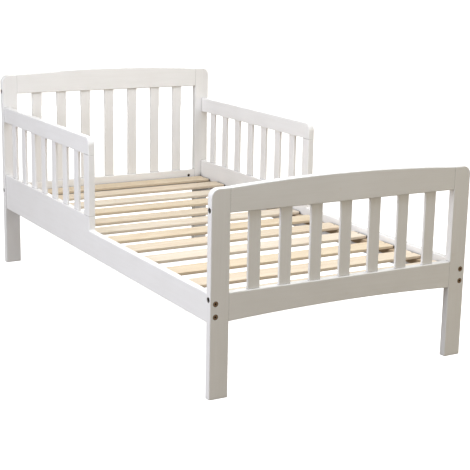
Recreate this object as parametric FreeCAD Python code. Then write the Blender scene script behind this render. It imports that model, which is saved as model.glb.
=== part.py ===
import FreeCAD, Part
import math
import os

# A toddler bed in painted wood with a pine slatted base, for a 1400 x 700 mm mattress.
# Frame: millimetres, +Z up, origin on the floor under the centre of the bed.
# X runs across the bed, Y along it. The headboard is at +Y and the footboard at -Y.

V = FreeCAD.Vector
ACROSS = V(1, 0, 0)
ALONG = V(0, 1, 0)
UP = V(0, 0, 1)

# ---------------------------------------------------------------- driving dimensions
bed_length = 1450.0          # over the outer faces of the head and foot boards
bed_width = 763.0            # over the outer edges of the posts
board = 20.0                 # thickness of every painted board
slat_thickness = 8.0         # thickness of the upright slats
slat_width = 33.0            # width of the upright slats
tenon = 12.0                 # depth that an upright slat goes into its rail
round_over = 2.5             # rounding along the edges of the painted boards
seam_round = 1.0             # rounding on both sides of a seam between two boards
slat_round = 1.5             # rounding along the edges of the upright slats
corner_radius = 22.0         # rounded upper corners of the posts and guard rails

post_width = 50.5
slats_per_end = 7
end_slat_pitch = 86.9

head_height = 628.0          # top of the headboard posts
head_top_rail = 60.5         # depth of the headboard's top rail at its ends
head_bottom_rail = (197.0, 267.5)
foot_height = 512.0          # top of the footboard posts
foot_top_rail = 60.0         # depth of the footboard's top rail at its ends
foot_bottom_rail = (190.0, 260.5)
top_arch = 11.5              # rise of the top rails at mid-span
bottom_arch = 9.0            # rise of the bottom rails' underside at mid-span

side_rail_inset = 4.5        # side rail's outer face in from the posts' outer edge
side_rail_low = 185.5
side_rail_high = 258.0       # top of the side rail towards the foot
side_rail_raised = 300.0     # top of the side rail under the guard

step_radius = 4.0            # in the corner where the side rail steps down

guard_free_end = 3.0         # Y of the guard's free end
guard_post_width = 37.0
guard_rail_low = 475.0
guard_rail_high = 524.5
slats_per_guard = 7

bed_slat_shifts = (0, 1, 3, 12, 16, 13, 8, -2, 4, 0, 8, 0)    # from even spacing, counted from the foot
bed_slat_width = 66.0
bed_slat_thickness = 9.0
bed_slat_length = 704.0
bed_slat_top = 242.0
bed_slat_end_gap = 4.0       # between the outermost slats and the head and foot boards
bed_slat_round = 2.0
ledger_width = 20.0
ledger_depth = 18.0
ledger_length = 1400.0
ledger_round = 1.0

# fasteners
bolt_diameter = 6.0
bolt_length = 70.0
bolt_head_diameter = 13.5
bolt_head_depth = 3.0
bolt_socket = 5.0            # across the flats of the hex socket
bolt_socket_depth = 2.2
bolt_edge = 0.6              # rounding of the head and chamfer of the tip
bolt_hole_diameter = 6.5
counterbore_diameter = 14.0
counterbore_deep = 10.0      # at the outer sides of the posts
counterbore_flush = 3.2      # at the front and back faces of the posts
nut_diameter = 10.0
nut_length = 14.0
nut_back = 6.0               # from the bolt's tip back to the nut's axis
nut_thread_diameter = 6.2
nut_chamfer = 0.5
nut_slot = 1.2
hole_spare = 1.0             # extra depth past a bolt's or dowel's end
dowel_diameter = 8.0
dowel_length = 36.0
dowel_chamfer = 1.0
dowel_offset = 8.0           # of the guard post's dowels from the post's middle
screw_head_diameter = 7.0
screw_diameter = 3.5
screw_length = 25.0
screw_tip = 4.0
screw_cross = 1.0            # width of the arms of the screw's cross recess
screw_cross_length = 4.4
screw_cross_depth = 1.4
ledger_screw_sink = 8.0      # depth of the ledger screws' heads below its face
ledger_screw_steps = 2       # ledger screws each side of the middle, one to every second slat gap

side_bolt_heights = (205.0, 237.0)
low_bolt_height = 246.5      # in the bottom rails' ends
low_dowel_height = 219.0
rail_edge_to_bolt = 8.0      # from a top rail's lower edge to its bolt
top_rail_bolt_to_dowel = 28.0

near = 1.0                   # closer than this, an edge's middle counts as being at a board's end
hexagon_sides = 6

# ---------------------------------------------------------------- worked out from them
half_length = bed_length / 2
half_width = bed_width / 2
inner_y = half_length - board            # inner faces of the head and foot boards
board_y = half_length - board / 2        # mid-thickness of the head and foot boards
post_inner = half_width - post_width     # inner edges of the posts
rail_outer = half_width - side_rail_inset
rail_mid = rail_outer - board / 2
rail_inner = rail_outer - board
ledger_mid = rail_inner - ledger_width / 2
ledger_top = bed_slat_top - bed_slat_thickness
slat_pitch = (2 * (inner_y - bed_slat_end_gap) - bed_slat_width) / (len(bed_slat_shifts) - 1)
first_slat_y = bed_slat_end_gap + bed_slat_width / 2 - inner_y
bed_slat_places = [first_slat_y + number * slat_pitch + shift for number, shift in enumerate(bed_slat_shifts)]
guard_span = inner_y - guard_free_end - guard_post_width
guard_gap = (guard_span - slats_per_guard * slat_width) / (slats_per_guard + 1)
guard_pitch = guard_gap + slat_width
guard_post_mid = guard_free_end + guard_post_width / 2


# ---------------------------------------------------------------- shapes
def outline(axis, points):
    """Flat face in the plane of axis and Z. A point with "via" at its end is the middle of an arc."""
    edges = []
    start = points[0]
    middle = None
    for point in points[1:] + points[:1]:
        if point[-1] == "via":
            middle = point
            continue
        ends = [axis * start[0] + UP * start[1], axis * point[0] + UP * point[1]]
        if middle:
            edges.append(Part.Arc(ends[0], axis * middle[0] + UP * middle[1], ends[1]).toShape())
        else:
            edges.append(Part.makeLine(ends[0], ends[1]))
        start = point
        middle = None
    return Part.Face(Part.Wire(edges))


def rounded_corner(edge, top, side):
    """Points of a rounded upper corner at edge, from its lower end; side is where the corner points."""
    back = corner_radius * (1 - math.sqrt(0.5))
    return [
        (edge, top - corner_radius),
        (edge - side * back, top - back, "via"),
        (edge - side * corner_radius, top),
    ]


def thicken(face, normal, thickness, middle):
    """Board made from an outline, with its mid-thickness at middle along normal."""
    solid = face.extrude(normal * thickness)
    solid.translate(normal * (middle - thickness / 2))
    return solid


def block(low, high):
    """A box from its lowest to its highest corner."""
    size = V(*high) - V(*low)
    return Part.makeBox(size.x, size.y, size.z, V(*low))


def centred_block(centre, size):
    low = V(*centre) - V(*size) * 0.5
    return Part.makeBox(size[0], size[1], size[2], low)


def round_edges(solid, radius, wanted):
    """Round the edges for which wanted(middle of the edge) is true."""
    return solid.makeFillet(radius, [edge for edge in solid.Edges if wanted(edge.CenterOfMass)])


def same(value, other):
    return abs(value - other) < 0.01


def circles(solid):
    return [edge for edge in solid.Edges if edge.Curve.TypeId == "Part::GeomCircle"]


def place(shape, origin, direction):
    """Turn a shape made along +Z so that it lies along direction, then move it to origin."""
    placed = shape.copy()
    placed.Placement = FreeCAD.Placement(origin, FreeCAD.Rotation(UP, direction))
    return placed


# ---------------------------------------------------------------- fasteners
def make_bolt(seat, direction):
    """Bolt with its head's underside at seat and its shank along direction."""
    head = Part.makeCylinder(bolt_head_diameter / 2, bolt_head_depth, UP * -bolt_head_depth)
    head = round_edges(head, bolt_edge, lambda middle: same(middle.z, -bolt_head_depth))
    corner_distance = bolt_socket / math.sqrt(3)
    corners = []
    for step in range(hexagon_sides + 1):
        angle = 2 * math.pi * step / hexagon_sides
        corners.append(V(math.cos(angle), math.sin(angle), 0) * corner_distance - UP * bolt_head_depth)
    socket = Part.Face(Part.makePolygon(corners)).extrude(UP * bolt_socket_depth)
    shank = Part.makeCylinder(bolt_diameter / 2, bolt_length)
    shank = shank.makeChamfer(bolt_edge, [rim for rim in circles(shank) if rim.CenterOfMass.z > near])
    return place(head.fuse(shank).cut(socket), seat, direction)


def make_nut(centre, mouth, bolt_direction):
    """Barrel nut around a bolt's axis. mouth points from the nut out of its hole."""
    barrel = Part.makeCylinder(nut_diameter / 2, nut_length, centre - mouth * (nut_length / 2), mouth)
    barrel = barrel.makeChamfer(nut_chamfer, circles(barrel))
    thread_start = centre - bolt_direction * nut_diameter
    thread = Part.makeCylinder(nut_thread_diameter / 2, 2 * nut_diameter, thread_start, bolt_direction)
    slot = centred_block((0, 0, 0), (2 * nut_diameter, nut_slot, 2 * nut_slot))
    return barrel.cut(thread).cut(place(slot, centre + mouth * (nut_length / 2), mouth))


def make_dowel(middle, direction):
    start = middle - direction * (dowel_length / 2)
    dowel = Part.makeCylinder(dowel_diameter / 2, dowel_length, start, direction)
    return dowel.makeChamfer(dowel_chamfer, circles(dowel))


def screw_blank():
    """Countersunk screw without its recess, pointing along +Z from its flat top."""
    head_radius = screw_head_diameter / 2
    shank_radius = screw_diameter / 2
    profile = [
        V(0, 0, 0),
        V(head_radius, 0, 0),
        V(shank_radius, 0, head_radius - shank_radius),
        V(shank_radius, 0, screw_length - screw_tip),
        V(0, 0, screw_length),
        V(0, 0, 0),
    ]
    return Part.Face(Part.makePolygon(profile)).revolve(V(0, 0, 0), UP, 360)


def make_screw(top, direction):
    """Wood screw with its flat top at top and its point along direction."""
    screw = screw_blank()
    for width, length in ((screw_cross, screw_cross_length), (screw_cross_length, screw_cross)):
        screw = screw.cut(centred_block((0, 0, 0), (width, length, 2 * screw_cross_depth)))
    return place(screw, top, direction)


class Joinery:
    """The fasteners, and the holes that they need in the boards around them."""

    def __init__(self):
        self.bolts = []
        self.nuts = []
        self.dowels = []
        self.screws = []
        self.holes = []

    def drill_hole(self, diameter, length, start, direction):
        self.holes.append(Part.makeCylinder(diameter / 2, length, start, direction))

    def bolt(self, surface, direction, counterbore, mouth, nut_depth):
        """Bolt entering at surface. Its nut's hole opens towards mouth, nut_depth from the bolt."""
        seat = surface + direction * counterbore
        nut_centre = seat + direction * (bolt_length - nut_back)
        self.bolts.append(make_bolt(seat, direction))
        self.nuts.append(make_nut(nut_centre, mouth, direction))
        self.drill_hole(counterbore_diameter, counterbore, surface, direction)
        self.drill_hole(bolt_hole_diameter, bolt_length + hole_spare, seat, direction)
        nut_floor = nut_centre - mouth * (nut_length / 2)
        self.drill_hole(nut_diameter, nut_length / 2 + nut_depth, nut_floor, mouth)

    def dowel(self, middle, direction):
        self.dowels.append(make_dowel(middle, direction))
        start = middle - direction * (dowel_length / 2 + hole_spare)
        self.drill_hole(dowel_diameter, dowel_length + 2 * hole_spare, start, direction)

    def screw(self, top, direction, sink):
        """Wood screw whose head lies sink below the board's face."""
        self.screws.append(make_screw(top, direction))
        self.holes.append(place(screw_blank(), top, direction))
        if sink:
            self.drill_hole(screw_head_diameter, sink, top - direction * sink, direction)

    def drill(self, solid):
        """Cut every hole that reaches a solid."""
        reaching = [hole for hole in self.holes if hole.BoundBox.intersect(solid.BoundBox)]
        return solid.cut(reaching) if reaching else solid


def join_end_board(joinery, end, low_rail_bolt, low_rail_dowel, top_rail_low):
    """Bolts and dowels between the posts and rails of the headboard (end +1) or footboard (end -1)."""
    y = end * board_y
    inwards = ALONG * -end
    top_bolt = top_rail_low + rail_edge_to_bolt
    for side in (-1, 1):
        towards_middle = ACROSS * -side
        outer = side * half_width
        joinery.bolt(V(outer, y, low_rail_bolt), towards_middle, counterbore_deep, inwards, board / 2)
        joinery.bolt(V(outer, y, top_bolt), towards_middle, counterbore_deep, -UP, rail_edge_to_bolt)
        for z in (low_rail_dowel, top_bolt + top_rail_bolt_to_dowel):
            joinery.dowel(V(side * post_inner, y, z), towards_middle)


def join_side(joinery, side):
    """Bolts, dowels and ledger screws of one side rail and its guard."""
    x = side * rail_mid
    inwards = ACROSS * -side
    for end in (-1, 1):
        face = end * half_length
        for z in side_bolt_heights:
            joinery.bolt(V(x, face, z), ALONG * -end, counterbore_flush, inwards, board / 2)
    guard_bolt = guard_rail_low + rail_edge_to_bolt
    joinery.bolt(V(x, half_length, guard_bolt), -ALONG, counterbore_flush, -UP, rail_edge_to_bolt)
    for z in (side_rail_raised, guard_rail_low):
        for offset in (-dowel_offset, dowel_offset):
            joinery.dowel(V(x, guard_post_mid + offset, z), UP)
    ledger_face = side * (rail_inner - ledger_width)
    for step in range(-ledger_screw_steps, ledger_screw_steps + 1):
        top = V(ledger_face, 2 * step * slat_pitch, ledger_top - ledger_depth / 2)
        joinery.screw(top - inwards * ledger_screw_sink, -inwards, ledger_screw_sink)


def join_bed_slats(joinery):
    for y in bed_slat_places:
        for side in (-1, 1):
            joinery.screw(V(side * ledger_mid, y, bed_slat_top), -UP, 0)


# ---------------------------------------------------------------- head and foot boards
def make_post(side, end, height):
    points = [(side * post_inner, 0), (side * half_width, 0)]
    points += rounded_corner(side * half_width, height, side)
    points += [(side * post_inner, height)]
    post = thicken(outline(ACROSS, points), ALONG, board, end * board_y)

    def outer_edge(middle):
        on_a_face = same(abs(middle.y - end * board_y), board / 2)
        return on_a_face and middle.z > near and not same(middle.x, side * post_inner)

    def inner_edge(middle):
        return same(middle.x, side * post_inner) and near < middle.z < height - near

    post = round_edges(post, round_over, outer_edge)
    return round_edges(post, seam_round, inner_edge)


def make_end_rail(end, low, high, low_arch, high_arch):
    """Rail between the posts. Each arch is the rise of that edge at mid-span."""
    points = [(-post_inner, low)]
    if low_arch:
        points += [(0, low + low_arch, "via")]
    points += [(post_inner, low), (post_inner, high)]
    if high_arch:
        points += [(0, high + high_arch, "via")]
    points += [(-post_inner, high)]
    rail = thicken(outline(ACROSS, points), ALONG, board, end * board_y)

    def long_edge(middle):
        return same(abs(middle.y - end * board_y), board / 2) and abs(middle.x) < near

    rail = round_edges(rail, round_over, long_edge)
    return round_edges(rail, seam_round, lambda middle: same(abs(middle.x), post_inner))


def make_upright_slat(x, y, size_x, size_y, low, high):
    """Slat between two rails, with both ends let into them."""
    middle_z = (low + high) / 2
    slat = centred_block((x, y, middle_z), (size_x, size_y, high - low + 2 * tenon))
    return round_edges(slat, slat_round, lambda middle: same(middle.z, middle_z))


def make_end_board(name, end, height, bottom_rail, top_rail_depth, joinery):
    top_rail_low = height - top_rail_depth
    slats = []
    for number in range(slats_per_end):
        x = (number - (slats_per_end - 1) / 2) * end_slat_pitch
        y = end * board_y
        slats.append(make_upright_slat(x, y, slat_width, slat_thickness, bottom_rail[1], top_rail_low))
    top_rail = make_end_rail(end, top_rail_low, height, 0, top_arch).cut(slats)
    low_rail = make_end_rail(end, bottom_rail[0], bottom_rail[1], bottom_arch, 0).cut(slats)
    save(name + "_top_rail", joinery.drill(top_rail))
    save(name + "_bottom_rail", joinery.drill(low_rail))
    for side, side_name in sides:
        save(name + "_post_" + side_name, joinery.drill(make_post(side, end, height)))
    for number, slat in enumerate(slats, 1):
        save(f"{name}_slat_{number}", slat)


# ---------------------------------------------------------------- sides
def make_side_rail(side):
    step = guard_free_end
    back = step_radius * (1 - math.sqrt(0.5))
    points = [
        (-inner_y, side_rail_low),
        (inner_y, side_rail_low),
        (inner_y, side_rail_raised),
        (step + guard_post_width, side_rail_raised),
        (step, side_rail_raised),
        (step, side_rail_high + step_radius),
        (step - back, side_rail_high + back, "via"),
        (step - step_radius, side_rail_high),
        (-inner_y, side_rail_high),
    ]
    rail = thicken(outline(ALONG, points), ACROSS, board, side * rail_mid)

    def long_edge(middle):
        on_a_face = same(abs(middle.x - side * rail_mid), board / 2)
        under_guard_post = same(middle.y, guard_post_mid) and same(middle.z, side_rail_raised)
        return on_a_face and abs(middle.y) < inner_y - near and not under_guard_post

    return round_edges(rail, round_over, long_edge)


def make_guard_rail(side):
    points = [(guard_free_end, guard_rail_low)]
    points += rounded_corner(guard_free_end, guard_rail_high, -1)
    points += [
        (inner_y, guard_rail_high),
        (inner_y, guard_rail_low),
        (guard_free_end + guard_post_width, guard_rail_low),
    ]
    rail = thicken(outline(ALONG, points), ACROSS, board, side * rail_mid)

    def long_edge(middle):
        on_a_face = same(abs(middle.x - side * rail_mid), board / 2)
        over_guard_post = same(middle.y, guard_post_mid) and same(middle.z, guard_rail_low)
        return on_a_face and middle.y < inner_y - near and not over_guard_post

    return round_edges(rail, round_over, long_edge)


def make_guard_post(side):
    middle_z = (side_rail_raised + guard_rail_low) / 2
    size = (board, guard_post_width, guard_rail_low - side_rail_raised)
    post = centred_block((side * rail_mid, guard_post_mid, middle_z), size)
    post = round_edges(post, round_over, lambda middle: same(middle.z, middle_z))
    return round_edges(post, seam_round, lambda middle: not same(middle.z, middle_z))


def make_ledger(side):
    ledger = block(
        (side * ledger_mid - ledger_width / 2, -ledger_length / 2, ledger_top - ledger_depth),
        (side * ledger_mid + ledger_width / 2, ledger_length / 2, ledger_top),
    )
    return round_edges(ledger, ledger_round, lambda middle: same(middle.y, 0))


def make_side(side, side_name, joinery):
    slats = []
    for number in range(slats_per_guard):
        y = guard_free_end + guard_post_width + guard_gap + slat_width / 2 + number * guard_pitch
        x = side * rail_mid
        slats.append(make_upright_slat(x, y, slat_thickness, slat_width, side_rail_raised, guard_rail_low))
    save("side_rail_" + side_name, joinery.drill(make_side_rail(side).cut(slats)))
    save("guard_rail_" + side_name, joinery.drill(make_guard_rail(side).cut(slats)))
    save("guard_post_" + side_name, joinery.drill(make_guard_post(side)))
    save("slat_ledger_" + side_name, joinery.drill(make_ledger(side)))
    for number, slat in enumerate(slats, 1):
        save(f"guard_slat_{side_name}_{number}", slat)


# ---------------------------------------------------------------- slatted base
def make_bed_slat(y):
    middle_z = bed_slat_top - bed_slat_thickness / 2
    slat = centred_block((0, y, middle_z), (bed_slat_length, bed_slat_width, bed_slat_thickness))
    return round_edges(slat, bed_slat_round, lambda middle: same(middle.x, 0))


def save(name, shape):
    shape.exportStep("parts/" + name + ".step")


# ---------------------------------------------------------------- the bed
os.makedirs("parts", exist_ok=True)
sides = ((-1, "left"), (1, "right"))
joinery = Joinery()
join_end_board(joinery, 1, low_bolt_height, low_dowel_height, head_height - head_top_rail)
join_end_board(joinery, -1, low_bolt_height, low_dowel_height, foot_height - foot_top_rail)
for side, side_name in sides:
    join_side(joinery, side)
join_bed_slats(joinery)

make_end_board("headboard", 1, head_height, head_bottom_rail, head_top_rail, joinery)
make_end_board("footboard", -1, foot_height, foot_bottom_rail, foot_top_rail, joinery)
for side, side_name in sides:
    make_side(side, side_name, joinery)
for number, y in enumerate(bed_slat_places, 1):
    save(f"bed_slat_{number:02d}", joinery.drill(make_bed_slat(y)))
save("frame_bolts", Part.makeCompound(joinery.bolts))
save("barrel_nuts", Part.makeCompound(joinery.nuts))
save("wood_dowels", Part.makeCompound(joinery.dowels))
save("wood_screws", Part.makeCompound(joinery.screws))
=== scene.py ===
# A toddler bed in white painted wood, with a bare pine slatted base.
# Metres, +Z up, headboard at +Y, footboard at -Y.
import math

import bmesh
import bpy
from mathutils import Matrix, Vector


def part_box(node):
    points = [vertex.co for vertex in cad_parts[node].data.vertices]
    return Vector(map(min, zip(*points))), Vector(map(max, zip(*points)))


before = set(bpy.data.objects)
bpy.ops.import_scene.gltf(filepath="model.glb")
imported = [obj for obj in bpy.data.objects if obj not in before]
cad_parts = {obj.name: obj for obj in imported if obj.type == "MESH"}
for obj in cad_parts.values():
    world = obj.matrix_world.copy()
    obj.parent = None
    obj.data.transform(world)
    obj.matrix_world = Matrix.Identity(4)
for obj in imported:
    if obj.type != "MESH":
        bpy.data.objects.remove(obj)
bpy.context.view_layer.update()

MM = 0.001
QUARTER_TURN = math.pi / 2


# ---------------------------------------------------------------- node trees
def add_node(tree, kind, inputs=None, **settings):
    """Add a node, set it up, and give its inputs values or other nodes' outputs."""
    node = tree.nodes.new(kind)
    for name, value in settings.items():
        setattr(node, name, value)
    for name, value in (inputs or {}).items():
        if isinstance(value, bpy.types.NodeSocket):
            tree.links.new(value, node.inputs[name])
        else:
            node.inputs[name].default_value = value
    return node


def maths(tree, operation, first, second=0.0, third=0.0):
    ends = {0: first, 1: second, 2: third}
    return add_node(tree, "ShaderNodeMath", ends, operation=operation).outputs["Value"]


def vector_maths(tree, operation, first, second=(0, 0, 0)):
    return add_node(tree, "ShaderNodeVectorMath", {0: first, 1: second}, operation=operation)


def span(tree, value, low, high, to_low=0.0, to_high=1.0):
    """Carry a value smoothly from one range to another, stopping at the ends."""
    ends = {"Value": value, "From Min": low, "From Max": high, "To Min": to_low, "To Max": to_high}
    return add_node(tree, "ShaderNodeMapRange", ends, interpolation_type="SMOOTHSTEP").outputs["Result"]


def noise(tree, place, scale, detail=2.0, roughness=0.5):
    ends = {"Vector": place, "Scale": scale, "Detail": detail, "Roughness": roughness}
    return add_node(tree, "ShaderNodeTexNoise", ends).outputs["Fac"]


def drawn_out(tree, place, length):
    """A place whose X is squeezed, so that what is patterned on it runs on along the grain."""
    ends = {"Vector": place, "Scale": (1 / length, 1, 1)}
    return add_node(tree, "ShaderNodeMapping", ends).outputs["Vector"]


def mix_colour(tree, share, first, second, blend="MIX"):
    ends = {0: share, 6: first, 7: second}
    return add_node(tree, "ShaderNodeMix", ends, data_type="RGBA", blend_type=blend).outputs[2]


def stain(tree, colour, mask, share, stain_colour):
    """Lay a colour over another where a mask says, as strongly as the share."""
    return mix_colour(tree, maths(tree, "MULTIPLY", mask, share), colour, stain_colour)


def start_group(name, inputs, outputs):
    """A node group with inputs given as name: value and outputs as name: kind of socket."""
    group = bpy.data.node_groups.new(name, "ShaderNodeTree")
    for label, value in inputs.items():
        kind = "NodeSocketVector" if isinstance(value, tuple) else "NodeSocketFloat"
        socket = group.interface.new_socket(label, in_out="INPUT", socket_type=kind)
        socket.default_value = value
    for label, kind in outputs.items():
        group.interface.new_socket(label, in_out="OUTPUT", socket_type=kind)
    start = group.nodes.new("NodeGroupInput").outputs
    end = group.nodes.new("NodeGroupOutput").inputs
    return group, start, end


def place_group(tree, group, inputs):
    """Put a group in a material, with this material's own values."""
    return add_node(tree, "ShaderNodeGroup", inputs, node_tree=group).outputs


def grey(value):
    return (value, value, value, 1.0)


# ---------------------------------------------------------------- effects that materials share
def make_pine_grain():
    """Growth rings, fibres and knots of a board sawn along X."""
    inputs = {"Place": (0.0, 0.0, 0.0), "Ring Spacing": 3.2 * MM, "Wander": 5.0 * MM, "Knot Radius": 5.0 * MM}
    outputs = {name: "NodeSocketFloat" for name in ("Rings", "Fibre", "Knot", "Knot Edge", "Cloud")}
    group, start, end = start_group("pine_grain", inputs, outputs)
    place = start["Place"]

    knots = add_node(group, "ShaderNodeTexVoronoi", {"Vector": place, "Scale": 8.0})
    from_knot = maths(group, "DIVIDE", knots.outputs["Distance"], 8.0)
    ragged = noise(group, place, 160.0)
    ragged_radius = maths(group, "MULTIPLY", start["Knot Radius"], span(group, ragged, 0.3, 0.7, 0.75, 1.25))
    inside = maths(group, "DIVIDE", from_knot, ragged_radius)
    knot = span(group, inside, 0.85, 1.1, 1.0, 0.0)
    edge = maths(group, "MULTIPLY", span(group, inside, 0.7, 1.0), span(group, inside, 1.0, 1.45, 1.0, 0.0))

    wander = noise(group, drawn_out(group, place, 9.0), 9.0, 3.0, 0.55)
    wander = maths(group, "MULTIPLY", maths(group, "SUBTRACT", wander, 0.5), start["Wander"])
    swell = maths(group, "MULTIPLY", span(group, inside, 0.8, 4.0, 1.0, 0.0), 4.5 * MM)
    parts = add_node(group, "ShaderNodeSeparateXYZ", {"Vector": place}).outputs
    taper = maths(group, "MULTIPLY", parts["X"], 0.022)
    tapered_z = maths(group, "ADD", parts["Z"], taper)
    across = add_node(group, "ShaderNodeCombineXYZ", {"Y": parts["Y"], "Z": tapered_z})
    radius = vector_maths(group, "LENGTH", across.outputs["Vector"]).outputs["Value"]
    radius = maths(group, "ADD", radius, maths(group, "ADD", maths(group, "MULTIPLY", wander, 2.0), swell))
    phase = maths(group, "FRACT", maths(group, "DIVIDE", radius, start["Ring Spacing"]))
    late = maths(group, "MULTIPLY", span(group, phase, 0.15, 0.85), span(group, phase, 0.88, 1.0, 1.0, 0.0))

    fine = noise(group, drawn_out(group, place, 40.0), 1500.0, 3.0, 0.6)
    broad = noise(group, drawn_out(group, place, 14.0), 60.0, 2.0)
    group.links.new(late, end["Rings"])
    group.links.new(fine, end["Fibre"])
    group.links.new(knot, end["Knot"])
    group.links.new(edge, end["Knot Edge"])
    group.links.new(broad, end["Cloud"])
    return group


def make_edge_mask():
    """Where a surface turns over an edge."""
    group, start, end = start_group("edge_mask", {"Radius": 2.0 * MM}, {"Edge": "NodeSocketFloat"})
    softened = add_node(group, "ShaderNodeBevel", {"Radius": start["Radius"]}, samples=6).outputs["Normal"]
    normal = group.nodes.new("ShaderNodeNewGeometry").outputs["Normal"]
    agreement = vector_maths(group, "DOT_PRODUCT", softened, normal).outputs["Value"]
    group.links.new(span(group, agreement, 0.995, 0.90), end["Edge"])
    return group


def make_corner_shade():
    """How far a spot lies in a seam or inner corner, and how deep in a drilled hole or socket."""
    inputs = {"Reach": 12.0 * MM, "Deep Below": 0.42}
    outputs = {"Corner": "NodeSocketFloat", "Deep": "NodeSocketFloat"}
    group, start, end = start_group("corner_shade", inputs, outputs)
    open_sky = add_node(group, "ShaderNodeAmbientOcclusion", {"Distance": start["Reach"]}, samples=8)
    group.links.new(span(group, open_sky.outputs["AO"], 0.80, 0.30), end["Corner"])
    deepest = maths(group, "MULTIPLY", start["Deep Below"], 0.55)
    group.links.new(span(group, open_sky.outputs["AO"], start["Deep Below"], deepest), end["Deep"])
    return group


def make_sprayed_paint():
    """Orange peel, drawn-out brush and fibre marks, and slow drifts of tone in a coat of paint."""
    inputs = {"Place": (0.0, 0.0, 0.0), "Fibre Share": 0.5}
    outputs = {name: "NodeSocketFloat" for name in ("Height", "Tone", "Gloss Drift")}
    group, start, end = start_group("sprayed_paint", inputs, outputs)
    place = start["Place"]
    peel = noise(group, place, 520.0, 2.0, 0.45)
    fibres = noise(group, drawn_out(group, place, 30.0), 620.0, 3.0, 0.6)
    swept = noise(group, drawn_out(group, place, 12.0), 90.0, 3.0, 0.55)
    marks = maths(group, "MULTIPLY", fibres, start["Fibre Share"])
    height = maths(group, "ADD", maths(group, "MULTIPLY", peel, 0.5), marks)
    group.links.new(maths(group, "ADD", height, maths(group, "MULTIPLY", swept, 0.4)), end["Height"])
    drift = noise(group, place, 7.0, 3.0, 0.5)
    tone = maths(group, "ADD", maths(group, "MULTIPLY", drift, 0.55), maths(group, "MULTIPLY", swept, 0.45))
    group.links.new(tone, end["Tone"])
    group.links.new(noise(group, place, 38.0, 3.0), end["Gloss Drift"])
    return group


pine_grain = make_pine_grain()
edge_mask = make_edge_mask()
corner_shade = make_corner_shade()
sprayed_paint = make_sprayed_paint()


# ---------------------------------------------------------------- materials
def start_material(name):
    """A new material, its tree and its shader."""
    material = bpy.data.materials.new(name)
    material.use_nodes = True
    tree = material.node_tree
    return material, tree, tree.nodes["Principled BSDF"]


TURNS = {"X": (0, 0, 0), "Y": (0, 0, -QUARTER_TURN), "Z": (0, QUARTER_TURN, 0)}


def board_place(tree, grain, shift):
    """Object coordinates turned so that the board's grain runs along X, and shifted to its own wood."""
    place = tree.nodes.new("ShaderNodeTexCoord").outputs["Object"]
    ends = {"Vector": place, "Location": shift, "Rotation": TURNS[grain]}
    return add_node(tree, "ShaderNodeMapping", ends).outputs["Vector"]


def set_bump(tree, shader, height, distance, strength=1.0):
    bump = add_node(tree, "ShaderNodeBump", {"Height": height, "Distance": distance, "Strength": strength})
    tree.links.new(bump.outputs["Normal"], shader.inputs["Normal"])


def white_paint(name, grain, shift):
    """Satin white paint over planed softwood, whose grain shows faintly through it."""
    material, tree, shader = start_material(name)
    place = board_place(tree, grain, shift)
    coat = place_group(tree, sprayed_paint, {"Place": place, "Fibre Share": 0.7})
    under = place_group(tree, pine_grain, {"Place": place, "Ring Spacing": 4.5 * MM})
    edge = place_group(tree, edge_mask, {"Radius": 2.5 * MM})["Edge"]
    shade = place_group(tree, corner_shade, {"Reach": 20.0 * MM, "Deep Below": 0.46})
    seam = place_group(tree, corner_shade, {"Reach": 3.0 * MM})["Corner"]

    thin_coat, full_coat = (0.815, 0.803, 0.796, 1), (0.845, 0.836, 0.833, 1)
    ring_tint, knot_tint = (0.72, 0.68, 0.60, 1), (0.66, 0.56, 0.38, 1)
    # Beside the edge colour, the next two lines hold painted shade colours for inner corners, seams and the
    # depths of drilled holes.
    edge_tint, painted_corner_shade = (0.88, 0.86, 0.80, 1), (0.42, 0.385, 0.34, 1)
    painted_seam_shade, painted_hole_shade = (0.10, 0.085, 0.07, 1), (0.022, 0.017, 0.013, 1)
    colour = mix_colour(tree, span(tree, coat["Tone"], 0.35, 0.65), thin_coat, full_coat)
    colour = stain(tree, colour, under["Rings"], 0.045, ring_tint)
    colour = stain(tree, colour, under["Knot"], 0.07, knot_tint)
    colour = stain(tree, colour, edge, 0.08, edge_tint)
    # Painted shade: darker in inner corners, darker still in the seams between parts, and near black deep in
    # drilled holes.
    colour = stain(tree, colour, shade["Corner"], 0.30, painted_corner_shade)
    colour = stain(tree, colour, seam, 0.85, painted_seam_shade)
    colour = stain(tree, colour, shade["Deep"], 0.97, painted_hole_shade)
    tree.links.new(colour, shader.inputs["Base Color"])
    gloss = span(tree, coat["Gloss Drift"], 0.3, 0.7, 0.34, 0.46)
    dulled = maths(tree, "ADD", gloss, maths(tree, "MULTIPLY", shade["Corner"], 0.3))
    tree.links.new(dulled, shader.inputs["Roughness"])
    height = maths(tree, "ADD", coat["Height"], maths(tree, "MULTIPLY", under["Rings"], -0.5))
    set_bump(tree, shader, height, 0.05 * MM)
    return material


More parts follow.
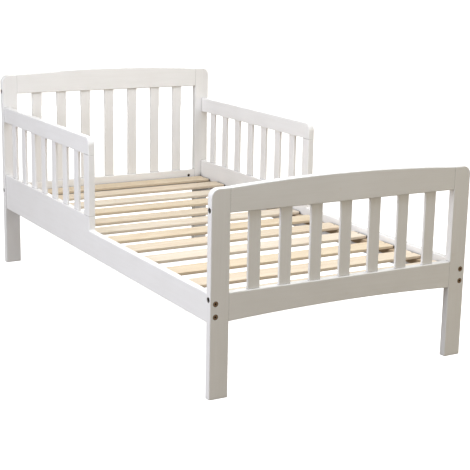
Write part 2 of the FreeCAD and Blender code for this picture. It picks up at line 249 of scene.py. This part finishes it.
def bare_pine(name, grain, shift, pale, late, tint):
    """Planed pine with its rings, fibres and knots, a little furry on its sawn edges."""
    material, tree, shader = start_material(name)
    place = board_place(tree, grain, shift)
    wood = place_group(tree, pine_grain, {"Place": place, "Ring Spacing": 3.4 * MM})
    edge = place_group(tree, edge_mask, {"Radius": 1.5 * MM})["Edge"]
    shade = place_group(tree, corner_shade, {"Reach": 16.0 * MM})

    knot_brown, knot_rim = (0.30, 0.13, 0.055, 1), (0.13, 0.06, 0.03, 1)
    # Beside the furry edge colour, this line holds painted shade colours for inner corners and the depths of
    # holes.
    edge_tint, painted_corner_shade, painted_hole_shade = (0.90, 0.84, 0.74, 1), (0.16, 0.115, 0.07, 1), (0.03, 0.02, 0.012, 1)
    colour = stain(tree, pale, wood["Rings"], span(tree, wood["Cloud"], 0.3, 0.7, 0.45, 1.0), late)
    colour = mix_colour(tree, span(tree, wood["Cloud"], 0.40, 0.66, 0.0, 0.75), colour, tint)
    fibre = span(tree, wood["Fibre"], 0.35, 0.65, 0.93, 1.04)
    colour = mix_colour(tree, 1.0, colour, fibre, "MULTIPLY")
    colour = mix_colour(tree, wood["Knot"], colour, knot_brown)
    colour = stain(tree, colour, wood["Knot Edge"], 0.75, knot_rim)
    colour = stain(tree, colour, edge, 0.18, edge_tint)
    # Painted shade: darker in inner corners, near black deep in holes.
    colour = stain(tree, colour, shade["Corner"], 0.40, painted_corner_shade)
    colour = stain(tree, colour, shade["Deep"], 0.85, painted_hole_shade)
    tree.links.new(colour, shader.inputs["Base Color"])
    tree.links.new(span(tree, wood["Fibre"], 0.3, 0.7, 0.72, 0.56), shader.inputs["Roughness"])
    relief = maths(tree, "ADD", wood["Fibre"], maths(tree, "MULTIPLY", wood["Rings"], 0.6))
    set_bump(tree, shader, maths(tree, "ADD", relief, wood["Knot"]), 0.12 * MM)
    return material


def plated_steel(name, colour, worn_colour, roughness):
    """Plated steel, scuffed bright on its edges, with painted shade near black deep in its recesses and
    sockets.
    """
    material, tree, shader = start_material(name)
    place = tree.nodes.new("ShaderNodeTexCoord").outputs["Object"]
    edge = place_group(tree, edge_mask, {"Radius": 0.5 * MM})["Edge"]
    shade = place_group(tree, corner_shade, {"Reach": 5.0 * MM, "Deep Below": 0.85})
    mottle = noise(tree, place, 900.0, 4.0, 0.6)
    darker = tuple(0.6 * channel for channel in colour[:3]) + (1,)
    shown = mix_colour(tree, span(tree, mottle, 0.35, 0.7, 0.0, 0.5), colour, darker)
    scuff = maths(tree, "MULTIPLY", edge, span(tree, noise(tree, place, 1600.0, 3.0), 0.35, 0.6))
    shown = stain(tree, shown, scuff, 0.8, worn_colour)
    # Painted shade: near black deep in sockets and recesses.
    shown = stain(tree, shown, shade["Deep"], 0.95, (0.012, 0.010, 0.008, 1))
    tree.links.new(shown, shader.inputs["Base Color"])
    shader.inputs["Metallic"].default_value = 1.0
    dulled = span(tree, mottle, 0.3, 0.7, roughness - 0.08, roughness + 0.12)
    tree.links.new(dulled, shader.inputs["Roughness"])
    set_bump(tree, shader, mottle, 0.02 * MM)
    return material


# ---------------------------------------------------------------- finishes for the CAD nodes
def finish_node(name, material):
    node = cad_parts[name]
    node.data.materials.clear()
    node.data.materials.append(material)


def own_wood(number):
    """A different stretch of wood for each board."""
    return (0.83 * number, 0.031 * math.sin(2.1 * number), 0.045 + 0.022 * math.cos(1.7 * number))


def grain_of(name):
    """The axis that a board is longest along."""
    low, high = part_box(name)
    sizes = high - low
    return "XYZ"[max(range(3), key=lambda axis: sizes[axis])]


PAINTED_BOARDS = ("headboard", "footboard", "guard", "side_rail")
painted = [name for name in sorted(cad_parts) if name.startswith(PAINTED_BOARDS)]
for number, name in enumerate(painted):
    finish_node(name, white_paint("white_paint_" + name, grain_of(name), own_wood(number)))

FIRST_SLAT_WOOD = 40      # the wood numbers that the pine pieces start from
FIRST_LEDGER_WOOD = 60
pine_tones = [            # pale wood, dark ring, and the tint of its broad streaks
    ((0.83, 0.745, 0.62, 1), (0.76, 0.64, 0.485, 1), (0.79, 0.665, 0.525, 1)),
    ((0.79, 0.67, 0.495, 1), (0.71, 0.56, 0.385, 1), (0.74, 0.59, 0.415, 1)),
    ((0.80, 0.69, 0.54, 1), (0.71, 0.57, 0.41, 1), (0.74, 0.595, 0.44, 1)),
]
slats = [name for name in sorted(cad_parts) if name.startswith("bed_slat")]
for number, name in enumerate(slats):
    tones = pine_tones[(2 * number) % len(pine_tones)]
    finish_node(name, bare_pine("bare_pine_" + name, "X", own_wood(FIRST_SLAT_WOOD + number), *tones))
# The ledgers' pine is darker than the slats', partly as rougher, darker wood and partly as painted shade from
# the slats above it.
shaded_ledger_tones = (0.50, 0.38, 0.25, 1), (0.40, 0.29, 0.17, 1), (0.46, 0.33, 0.21, 1)
for number, name in enumerate(("slat_ledger_left", "slat_ledger_right")):
    ledger_wood = own_wood(FIRST_LEDGER_WOOD + number)
    finish_node(name, bare_pine("rough_shaded_pine_" + name, "Y", ledger_wood, *shaded_ledger_tones))

beech_tones = (0.62, 0.44, 0.28, 1), (0.5, 0.33, 0.2, 1), (0.55, 0.38, 0.24, 1)
finish_node("wood_dowels", bare_pine("beech", "X", (0, 0, 0.06), *beech_tones))
bronze = plated_steel("bronzed_steel", (0.34, 0.235, 0.155, 1), (0.62, 0.47, 0.33, 1), 0.36)
finish_node("frame_bolts", bronze)
# The barrel nuts' bronzed steel is darkened nearly to black as painted shade of the holes they sit in.
recess_shaded_bronze = plated_steel("recess_shaded_bronzed_steel", (0.045, 0.034, 0.026, 1), (0.16, 0.12, 0.09, 1), 0.5)
finish_node("barrel_nuts", recess_shaded_bronze)
finish_node("wood_screws", plated_steel("zinc_steel", (0.56, 0.54, 0.47, 1), (0.8, 0.79, 0.75, 1), 0.34))


# ---------------------------------------------------------------- floor, light and camera
FLOOR_REACH = 60.0                           # each way from the bed, far past the view
FLOOR_GLOW = 0.85
FLOOR_BOUNCE = (0.26, 0.23, 0.20, 1)         # what the bed sees of the floor
SKY_COLOUR = (1.0, 0.955, 0.825, 1)
SKY_STRENGTH = 0.405
LENS_MM = 92.38
SENSOR_MM = 36.0
CAMERA_PLACE = (-1.67897, -3.08818, 1.04935)
CAMERA_HEADING = -0.52239                    # turned from looking along +Y, radians
CAMERA_DOWN = 0.23427
CAMERA_ROLL = 0.01927


def make_floor():
    """A plain pale floor, which shows pale and throws back a soft warm light."""
    mesh = bmesh.new()
    bmesh.ops.create_grid(mesh, x_segments=1, y_segments=1, size=FLOOR_REACH)
    data = bpy.data.meshes.new("studio_floor")
    mesh.to_mesh(data)
    mesh.free()
    floor = bpy.data.objects.new("studio_floor", data)
    bpy.context.scene.collection.objects.link(floor)
    material, tree, shader = start_material("studio_floor")
    seen = tree.nodes.new("ShaderNodeLightPath").outputs["Is Camera Ray"]
    tree.links.new(mix_colour(tree, seen, FLOOR_BOUNCE, grey(0.9)), shader.inputs["Base Color"])
    shader.inputs["Roughness"].default_value = 0.9
    shader.inputs["Emission Color"].default_value = grey(1.0)
    tree.links.new(maths(tree, "MULTIPLY", seen, FLOOR_GLOW), shader.inputs["Emission Strength"])
    data.materials.append(material)


def aim(thing, target):
    direction = Vector(target) - thing.location
    thing.rotation_euler = direction.to_track_quat("-Z", "Y").to_euler()


def add_softbox(name, place, target, size, watts, colour):
    data = bpy.data.lights.new(name, "AREA")
    data.shape = "RECTANGLE"
    data.size, data.size_y = size
    data.energy = watts
    data.color = colour
    lamp = bpy.data.objects.new(name, data)
    lamp.location = place
    bpy.context.scene.collection.objects.link(lamp)
    aim(lamp, target)


def set_world():
    """White to the camera, and a soft warm light on the object."""
    world = bpy.data.worlds.new("studio")
    bpy.context.scene.world = world
    world.use_nodes = True
    tree = world.node_tree
    tree.nodes.clear()
    seen = add_node(tree, "ShaderNodeBackground", {"Color": grey(1.0), "Strength": 1.0})
    lighting = add_node(tree, "ShaderNodeBackground", {"Color": SKY_COLOUR, "Strength": SKY_STRENGTH})
    from_camera = tree.nodes.new("ShaderNodeLightPath").outputs["Is Camera Ray"]
    both = add_node(tree, "ShaderNodeMixShader", {0: from_camera, 1: lighting.outputs[0], 2: seen.outputs[0]})
    add_node(tree, "ShaderNodeOutputWorld", {"Surface": both.outputs[0]})


def add_camera():
    data = bpy.data.cameras.new("camera")
    data.sensor_width = SENSOR_MM
    data.lens = LENS_MM
    data.clip_end = 200.0
    camera = bpy.data.objects.new("camera", data)
    bpy.context.scene.collection.objects.link(camera)
    heading = Matrix.Rotation(CAMERA_HEADING, 4, "Z")
    tilt = Matrix.Rotation(QUARTER_TURN - CAMERA_DOWN, 4, "X")
    roll = Matrix.Rotation(CAMERA_ROLL, 4, "Z")
    camera.matrix_world = Matrix.Translation(CAMERA_PLACE) @ heading @ tilt @ roll
    bpy.context.scene.camera = camera


bpy.context.scene.view_settings.view_transform = "Standard"
set_world()
make_floor()
add_softbox(
    "left_light", place=(-3.0, -0.4, 1.5), target=(0, -0.3, 0.3), size=(2.6, 2.0),
    watts=78, colour=(0.86, 0.895, 1.0))
add_softbox(
    "over_bed_light", place=(0.9, -0.5, 2.2), target=(0.15, -0.4, 0.25), size=(1.4, 1.0),
    watts=17, colour=(1.0, 0.99, 0.98))
add_softbox(
    "over_foot_light", place=(-0.2, -0.9, 1.8), target=(0.05, 0.1, 0.3), size=(1.2, 0.6),
    watts=13, colour=(0.80, 0.88, 1.0))
add_softbox(
    "front_light", place=(2.4, -4.0, 1.1), target=(0, 0, 0.3), size=(2.0, 2.0),
    watts=22, colour=(1.0, 0.85, 0.57))
add_softbox(
    "back_light", place=(1.8, 4.0, 1.3), target=(0, 0, 0.3), size=(2.0, 2.0),
    watts=50, colour=(1.0, 0.99, 0.97))
add_camera()
